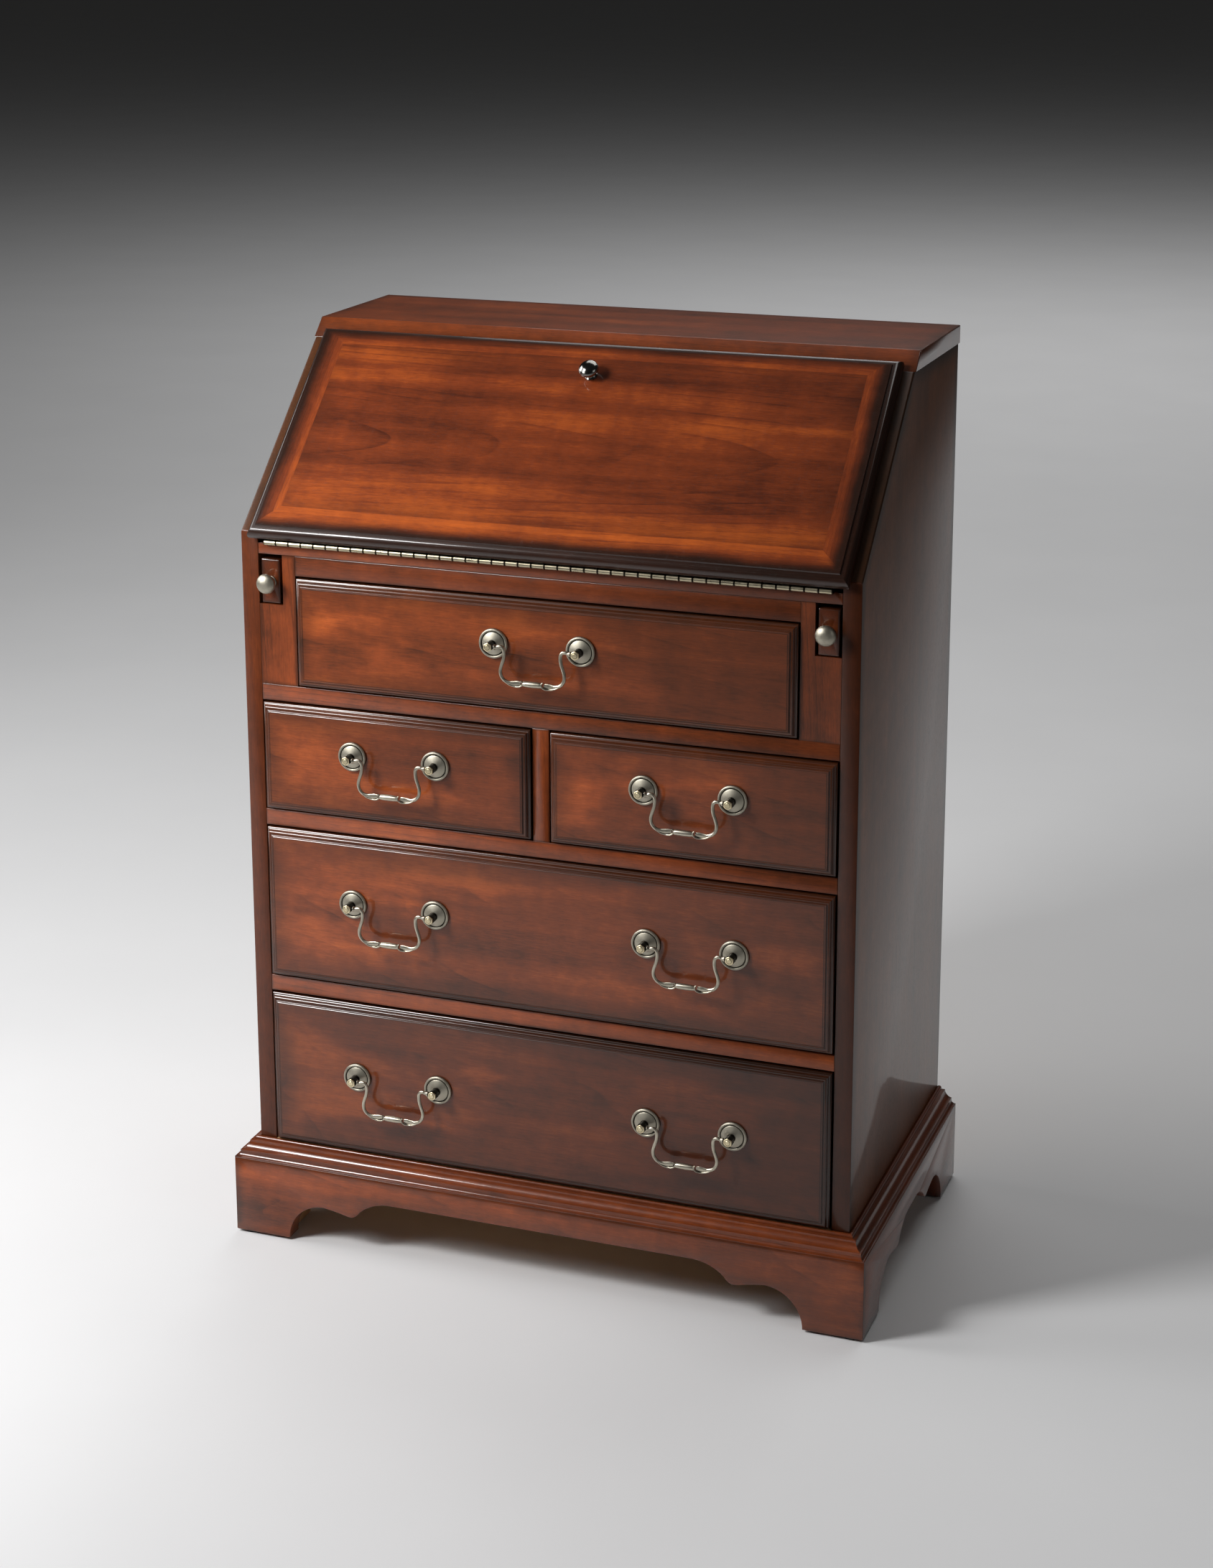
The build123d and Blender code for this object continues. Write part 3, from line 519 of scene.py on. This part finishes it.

# For each board: grain axis, axes of the face whose edges are darkened with glazing and painted shade, how far
# that darkening reaches, how dark it is, lightness of the stain, contrast of the figure
BOARDS = {
    "left_side_panel": ("z", (1, 2), 0.018, 0.5, 1.0, 0.3),
    # right side panel: stain lightness and edge darkening set darker than on the left side, as painted shade
    "right_side_panel": ("z", (1, 2), 0.02, 0.75, 0.85, 0.25),
    "top_board": ("x", (0, 1), 0.02, 0.5, 1.05, 0.5),
    "writing_surface": ("x", (0, 1), 0.02, 0.4, 0.9, 0.7),
    "filler_rail": ("x", (0, 2), 0.003, 0.6, 0.9, 0.5),
    "lower_rail": ("x", (0, 2), 0.003, 0.6, 1.3, 0.7),
    "middle_rail": ("x", (0, 2), 0.003, 0.6, 1.25, 0.7),
    "upper_rail": ("x", (0, 2), 0.003, 0.6, 1.4, 0.7),
    "top_rail": ("x", (0, 2), 0.002, 0.5, 0.8, 0.5),
    "centre_divider": ("z", (0, 2), 0.003, 0.6, 1.0, 0.6),
    "left_loper_post": ("z", (0, 2), 0.005, 0.6, 1.2, 0.7),
    "right_loper_post": ("z", (0, 2), 0.005, 0.6, 1.3, 0.7),
    "left_loper": ("y", (0, 2), 0.005, 0.7, 0.6, 0.5),
    "right_loper": ("y", (0, 2), 0.005, 0.7, 0.6, 0.5),
    "plinth_front": ("x", (0, 2), 0.012, 0.6, 1.2, 0.6),
    "plinth_left": ("y", (1, 2), 0.012, 0.6, 0.8, 0.4),
    # plinth_right and base_moulding_right: stain lightness lower than on the left pieces, as painted shade
    "plinth_right": ("y", (1, 2), 0.012, 0.6, 0.7, 0.4),
    "base_moulding_front": ("x", (0,), 0.01, 0.5, 0.75, 0.5),
    "base_moulding_left": ("y", (1,), 0.01, 0.5, 0.7, 0.4),
    "base_moulding_right": ("y", (1,), 0.01, 0.5, 0.6, 0.4),
    "gallery_shelf": ("x", (0, 1), 0.006, 0.4, 0.9, 0.5),
    "gallery_dividers": ("z", (1, 2), 0.006, 0.4, 0.9, 0.5),
}
SECONDARY = {
    "bottom_board": "x",
    "drawer_runners": "y",
    "loper_guides": "y",
    "corner_blocks": "z",
    "back_panel": "z",
    "plinth_back": "x",
}
# For each drawer front: lightness of the stain, and the X from which glazing and painted shade darken it to
# the right
DRAWERS = {
    "top_drawer": (1.5, -0.17),
    "small_drawer_left": (1.2, 0.0),
    "small_drawer_right": (1.4, -0.02),
    "third_drawer": (1.15, -0.02),
    "bottom_drawer": (0.72, -0.04),
}


def give(node, material):
    for slot in NODES[node].material_slots:
        slot.material = material


for number, (node, (grain, face, *look)) in enumerate(BOARDS.items()):
    give(node, board_material(node + "_cherry", node, number + 1, grain, face, *look))
for number, (node, grain) in enumerate(SECONDARY.items()):
    give(node, secondary_material(node + "_poplar", node, number + 40, grain))
for number, (drawer, look) in enumerate(DRAWERS.items()):
    give(drawer + "_front", drawer_material(drawer + "_cherry", drawer + "_front", number + 60, *look))
    give(drawer + "_box", secondary_material(drawer + "_poplar", drawer + "_box", number + 70, "x"))
give("lid_panel", lid_material())
for node in NODES:
    if "hinge_" in node:
        give(node, HINGE)
give("foot_glides", GLIDE)


# ================================================================ turned and bent metal
# These meshes are made about their own axis, which is +Z and points out of the wood. Profiles are (radius,
# height) points in millimetres, and a third value cuts a ring back to a hexagon of that size across its flats.
TURNED_SIDES = 60
BAIL_SIDES = 20
CREASE = 34                   # degrees; turned forms are shaded smooth over anything gentler
POST_INSET = 2 * MM           # from a bail's end to the middle of its post
SHAFT_END = 16.9              # the post is dark up to here, painted shade on the shaft and the sides of its head, and rubbed bright beyond
KNOB_HEIGHT = 17.5
KNOB_STUD = 9
GRIP_HALF = 10.2              # half the length of a bail's barrel grip
GRIP_DROP = 35.2              # from a bail's pivot down to its grip


def rounded(points, steps=5):
    """Smooth curve through the points, with this many steps from each to the next."""
    padded = [points[0], *points, points[-1]]
    curve = []
    for neighbours in zip(padded, padded[1:], padded[2:], padded[3:]):
        for step in range(steps):
            t = step / steps
            weights = (-t + 2 * t**2 - t**3, 2 - 5 * t**2 + 3 * t**3, t + 4 * t**2 - 3 * t**3, t**3 - t**2)
            pulls = zip(weights, neighbours)
            pairs = [tuple(weight * value / 2 for value in point) for weight, point in pulls]
            curve.append(tuple(map(sum, zip(*pairs))))
    return curve + [points[-1]]


def bridge(form, lower, upper):
    """Faces between two rings, either of which may be a single point."""
    count = max(len(lower), len(upper))
    for step in range(count):
        after = (step + 1) % count
        corners = (
            lower[step % len(lower)],
            lower[after % len(lower)],
            upper[after % len(upper)],
            upper[step % len(upper)],
        )
        form.faces.new(list(dict.fromkeys(corners)))


def turn(form, profile, axis="Z"):
    rings = []
    for radius, height, *flats in profile:
        ring = []
        for step in range(TURNED_SIDES if radius else 1):
            angle = math.tau * step / TURNED_SIDES
            reach = radius
            if flats:
                off_flat = (angle + math.pi / 6) % (math.pi / 3) - math.pi / 6
                reach = min(radius, flats[0] / 2 / math.cos(off_flat))
            place = (reach * math.cos(angle), reach * math.sin(angle), height)
            ring.append(form.verts.new(Vector(place if axis == "Z" else place[::-1]) * MM))
        rings.append(ring)
    for lower, upper in zip(rings, rings[1:]):
        bridge(form, lower, upper)


def bend(form, stations):
    """Bar through (x, y, z, half height, half depth) stations in millimetres, along the XZ plane."""
    rings = []
    for number, (x, y, z, half_height, half_depth) in enumerate(stations):
        before = stations[max(number - 1, 0)]
        after = stations[min(number + 1, len(stations) - 1)]
        ahead = Vector((after[0] - before[0], 0, after[2] - before[2])).normalized()
        side = Vector((-ahead.z, 0, ahead.x))
        ring = []
        for step in range(BAIL_SIDES):
            angle = math.tau * step / BAIL_SIDES
            offset = side * half_height * math.cos(angle) + Vector((0, half_depth * math.sin(angle), 0))
            ring.append(form.verts.new((Vector((x, y, z)) + offset) * MM))
        rings.append(ring)
    for lower, upper in zip(rings, rings[1:]):
        bridge(form, lower, upper)
    form.faces.new(rings[0])
    form.faces.new(rings[-1])


def finished(form, name, material):
    bmesh.ops.recalc_face_normals(form, faces=form.faces)
    mesh = bpy.data.meshes.new(name)
    form.to_mesh(mesh)
    form.free()
    for polygon in mesh.polygons:
        polygon.use_smooth = True
    mesh.set_sharp_from_angle(angle=math.radians(CREASE))
    mesh.materials.append(material)
    return mesh


def rosette_mesh():
    """Back plate: a rolled rim, a narrow groove, then a dome that rises to the post."""
    rim = rounded([(15.5, 0), (15.5, 1.5), (15.2, 2.5), (14.4, 3.2), (13.4, 3.2), (12.7, 2.5)], 4)
    groove = [(12.6, 1.3), (12.0, 1.3)]
    dome = rounded([(11.9, 2.3), (11.2, 2.8), (8.6, 3.8), (6.0, 4.6), (4.4, 5.0)], 4)
    form = bmesh.new()
    turn(form, [(0, 0), *rim, *groove, *dome, (3.4, 5.2), (3.2, 4.6), (0, 4.6)])
    return finished(form, "rosette", PEWTER)


def post_mesh(back):
    """Post: stud and nut behind the front, collar and shaft, chamfered hexagonal head with a small button."""
    nut, head = 7.0, 8.4
    stud = [(0, -back), (1.6, -back), (2.0, 0.4 - back), (2.0, 1 - back)]
    behind = [(3.5, 1 - back, nut), (4.1, 1.4 - back, nut), (4.1, 4.5 - back, nut), (2.0, 4.5 - back)]
    behind += [(2.0, 4.5)]
    collar = [(4.0, 4.5), *rounded([(4.4, 5.0), (4.5, 5.5), (4.1, 6.0), (3.2, 6.3)], 3), (3.2, 8.4)]
    chamfer = [(4.9, 16.9), (4.8, 17.15), (4.6, 17.4), (4.35, 17.65), (4.05, 17.85), (3.7, 18.0)]
    hexagon = [(4.2, 8.4, head), (4.9, 8.9, head), *((radius, height, head) for radius, height in chamfer)]
    button = [(2.9, 18.05), (2.8, 17.75), (2.55, 17.75), (2.5, 18.2), (2.2, 18.45), (0, 18.5)]
    form = bmesh.new()
    turn(form, [*stud, *behind, *collar, *hexagon, *button])
    mesh = finished(form, "handle_post", WORN_NICKEL)
    mesh.materials.append(SHAFT_SHADE_METAL)
    # the shaft and the sides of the head take the dark metal as painted shade; the chamfer and button stay
    # bright
    for polygon in mesh.polygons:
        polygon.material_index = 0 if polygon.center.z > SHAFT_END * MM else 1
    return mesh


def knob_mesh(material):
    """Small turned knob: flange, waisted neck and a full round head."""
    flange = [(0, -KNOB_STUD), (2, -KNOB_STUD), (2, 0), (6.6, 0), (6.7, 0.5), (6.5, 1.1), (5.9, 1.5)]
    neck = [(4.9, 2.2), (4.25, 3.4), (4.2, 4.7), (4.9, 5.9)]
    head = [(7.2, 6.9), (9.3, 8.3), (10.4, 10.3), (10.3, 12.2), (9.2, 14.1), (7.2, 15.7), (4.6, 16.9)]
    tip = [(2.1, 17.4), (0.05, KNOB_HEIGHT)]
    form = bmesh.new()
    turn(form, [*flange, *rounded(neck + head + tip, 4), (0, KNOB_HEIGHT)])
    return finished(form, "turned_knob", material)


def bail_mesh():
    """Swan-neck bail: two bars that widen into dished leaves, with rims that curl round a barrel grip."""
    neck = [(44.5, 0), (41.7, 0), (40.8, 0), (40.1, 0), (37.8, 0.2), (35.2, 1.0), (32.3, 0.5), (30.3, -2.2)]
    drop = [(30, -6.5), (30.8, -12), (32.8, -18), (34.1, -23.5), (33.3, -29), (30.1, -33.2), (25.2, -35.4)]
    leaf = [(20.5, -35.9), (15.5, -35.7), (12.2, -35.2)]
    sizes = {41.7: (1.7, 1.7), 40.8: (2.8, 2.8), 40.1: (2.7, 2.7), 37.8: (1.8, 1.8)}
    sizes |= {25.2: (2.1, 1.5), 20.5: (2.8, 1.0), 15.5: (3.0, 0.8), 12.2: (2.2, 0.7)}
    stations = [(x, 0, z, *sizes.get(x, (1.8, 1.7))) for x, z in neck + drop + leaf]
    rim = [(30.6, -32.4), (27.2, -35.6), (23, -37.7), (18, -38.7), (13.8, -38.3), (11.1, -36.9), (9.9, -34.9)]
    curl = [(10.3, -33.0), (11.7, -31.9)]
    edge = [(x, -0.9 if x > 16 else -1.7, z, 0.8, 0.9) for x, z in rim + curl]
    half_grip = [(1.2, 10.2), (2.3, 10.0), (2.8, 8.6), (3.1, 5)]
    grip = rounded([*((radius, -along) for radius, along in half_grip), (3.25, 0), *reversed(half_grip)])
    form = bmesh.new()
    turn(form, [(0, -GRIP_HALF), *grip, (0, GRIP_HALF)], "X")
    bmesh.ops.translate(form, verts=form.verts, vec=(0, 0, -GRIP_DROP * MM))
    for bar in (rounded(stations, 6), rounded(edge, 6)):
        bend(form, bar)
        bend(form, [(-x, *rest) for x, *rest in bar])
    return finished(form, "swan_neck_bail", RUBBED_PEWTER)


def place(name, mesh, location, tilt, node):
    """Puts a metal piece where its CAD node is. The tilt turns its own +Z from upright towards the front."""
    piece = bpy.data.objects.new(name, mesh)
    bpy.context.scene.collection.objects.link(piece)
    piece.location = location
    piece.rotation_euler = (tilt, 0, 0)
    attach(piece, BODY_OF[node])
    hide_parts(node)


def handles():
    rosette, bail = rosette_mesh(), bail_mesh()
    stud_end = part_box("top_drawer_handle_mounts")[1].y
    post = post_mesh((stud_end - FIELD_FRONT) / MM)
    facing = math.pi / 2
    for node in [name for name in NODES if name.endswith("_bail")]:
        drawer = next(name for name in DRAWERS if node.startswith(name))
        mounts = drawer + "_handle_mounts"
        title = node.removesuffix("_bail")
        low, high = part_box(node)
        across = (low.x + high.x) / 2
        height = middle(mounts).z
        pivot = middle(node).y
        place(title + "_swan_neck", bail, (across, pivot, height), 0, node)
        for side, end in (("left", low.x - POST_INSET), ("right", high.x + POST_INSET)):
            spot = (end, FIELD_FRONT, height)
            place(f"{title}_rosette_{side}", rosette, spot, facing, mounts)
            place(f"{title}_post_{side}", post, spot, facing, mounts)


def knobs():
    polished, plain = knob_mesh(BURNISHED), knob_mesh(PEWTER)
    for node in [name for name in NODES if name.endswith("_knob")]:
        mesh, tilt = (polished, SLANT) if node == "lid_knob" else (plain, math.pi / 2)
        up, out = up_and_out(tilt)
        points = [vertex.co for vertex in NODES[node].data.vertices]
        along = [point.dot(up) for point in points]
        tip = max(point.dot(out) for point in points)
        foot = up * (min(along) + max(along)) / 2 + out * (tip - KNOB_HEIGHT * MM)
        foot.x = middle(node).x
        place(node + "_turned", mesh, foot, tilt, node)


handles()
knobs()


# ================================================================ softened edges
WELD_REACH = 0.01 * MM
BEVEL_ANGLE = 28              # degrees; gentler edges than this are part of a curve
MOULDING_ANGLE = 32


def soften(node, width):
    """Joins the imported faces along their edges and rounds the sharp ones, for the light to catch."""
    piece = NODES[node]
    weld = piece.modifiers.new("weld", "WELD")
    weld.merge_threshold = WELD_REACH
    bevel = piece.modifiers.new("soft_edges", "BEVEL")
    bevel.width = width
    bevel.segments = 2
    bevel.limit_method = "ANGLE"
    bevel.angle_limit = math.radians(BEVEL_ANGLE)
    bevel.use_clamp_overlap = False
    bevel.harden_normals = True
    for polygon in piece.data.polygons:
        polygon.use_smooth = True


def smooth_mouldings(node):
    """Shades the run of a moulding as one curve, and leaves the flat faces beside it flat."""
    piece = NODES[node]
    weld = piece.modifiers.new("weld", "WELD")
    weld.merge_threshold = WELD_REACH
    split = piece.modifiers.new("sharp_edges", "EDGE_SPLIT")
    split.split_angle = math.radians(MOULDING_ANGLE)
    weighted = piece.modifiers.new("flat_faces", "WEIGHTED_NORMAL")
    weighted.mode = "FACE_AREA"
    weighted.weight = 100
    weighted.keep_sharp = True
    for polygon in piece.data.polygons:
        polygon.use_smooth = True


for node in BOARDS:
    if not node.startswith("base_moulding") and not node.endswith("loper_post"):
        soften(node, 0.0006)
for node in SECONDARY:
    soften(node, 0.0005)
for node in NODES:
    if "base_moulding" in node or node == "lid_panel" or node.removesuffix("_front") in DRAWERS:
        smooth_mouldings(node)


# ================================================================ studio
def studio():
    floor_mesh = bpy.data.meshes.new("floor")
    reach = 60.0
    corners = [(-reach, -reach, 0), (reach, -reach, 0), (reach, reach, 0), (-reach, reach, 0)]
    floor_mesh.from_pydata(corners, [], [(0, 1, 2, 3)])
    floor = bpy.data.objects.new("floor", floor_mesh)
    bpy.context.scene.collection.objects.link(floor)
    material, graph, shader = new_material("studio_floor")
    place = graph.add("TexCoord").outputs["Object"]
    cloud = graph.noise(place, 3.0, 3.0)
    graph.put(shader.inputs["Base Color"], graph.mix(cloud, (0.74, 0.74, 0.745), (0.79, 0.79, 0.795)))
    shader.inputs["Roughness"].default_value = 0.62
    shader.inputs["Specular IOR Level"].default_value = 0.25
    floor_mesh.materials.append(material)

    world = bpy.data.worlds.new("studio")
    world.use_nodes = True
    background = world.node_tree.nodes["Background"]
    background.inputs["Color"].default_value = (1.0, 0.99, 0.97, 1.0)
    background.inputs["Strength"].default_value = 0.018
    bpy.context.scene.world = world

    def softbox(name, place, target, width, height, power, spread=180):
        light = bpy.data.lights.new(name, "AREA")
        light.shape = "RECTANGLE"
        light.size = width
        light.size_y = height
        light.energy = power
        light.spread = math.radians(spread)
        holder = bpy.data.objects.new(name, light)
        bpy.context.scene.collection.objects.link(holder)
        holder.location = place
        aim = Vector(target) - Vector(place)
        holder.rotation_euler = aim.to_track_quat("-Z", "Y").to_euler()
        holder.visible_camera = False

    softbox("key", (-1.15, -1.25, 1.85), (-0.25, -0.2, 0.5), 0.45, 0.5, 17, 150)
    softbox("near", (-0.95, -1.0, 1.15), (-0.25, -0.2, 0.5), 0.4, 0.6, 5.5, 140)
    softbox("left", (-2.5, -0.3, 1.8), (-0.4, 0.0, 0.3), 1.2, 1.4, 36)
    softbox("overhead", (0.1, 1.7, 3.3), (0.0, 0.3, 0.3), 3.0, 2.2, 40)
    softbox("backdrop", (-0.5, 5.5, 4.2), (-1.5, 7.0, 0.0), 3.0, 2.0, 112)
    softbox("right", (3.0, -1.6, 1.8), (0.3, 0.0, 0.3), 1.6, 1.6, 6)


def camera():
    """Normal lens, a little above and to the right of the desk's front, with a small drop of the frame."""
    holder = bpy.data.objects.new("camera", bpy.data.cameras.new("camera"))
    bpy.context.scene.collection.objects.link(holder)
    azimuth, elevation, roll = (math.radians(angle) for angle in (20.19, 13.56, -0.11))
    holder.location = (0.9856, -2.6626, 1.4340)
    turn = Matrix.Rotation(azimuth, 3, "Z") @ Matrix.Rotation(math.pi / 2 - elevation, 3, "X")
    turn = turn @ Matrix.Rotation(roll, 3, "Z")
    holder.rotation_euler = turn.to_euler()
    holder.data.lens = 63.87
    holder.data.sensor_width = 36
    holder.data.shift_y = -0.15
    holder.data.clip_end = 200
    bpy.context.scene.camera = holder


studio()
camera()
bpy.context.scene.view_settings.view_transform = "Standard"
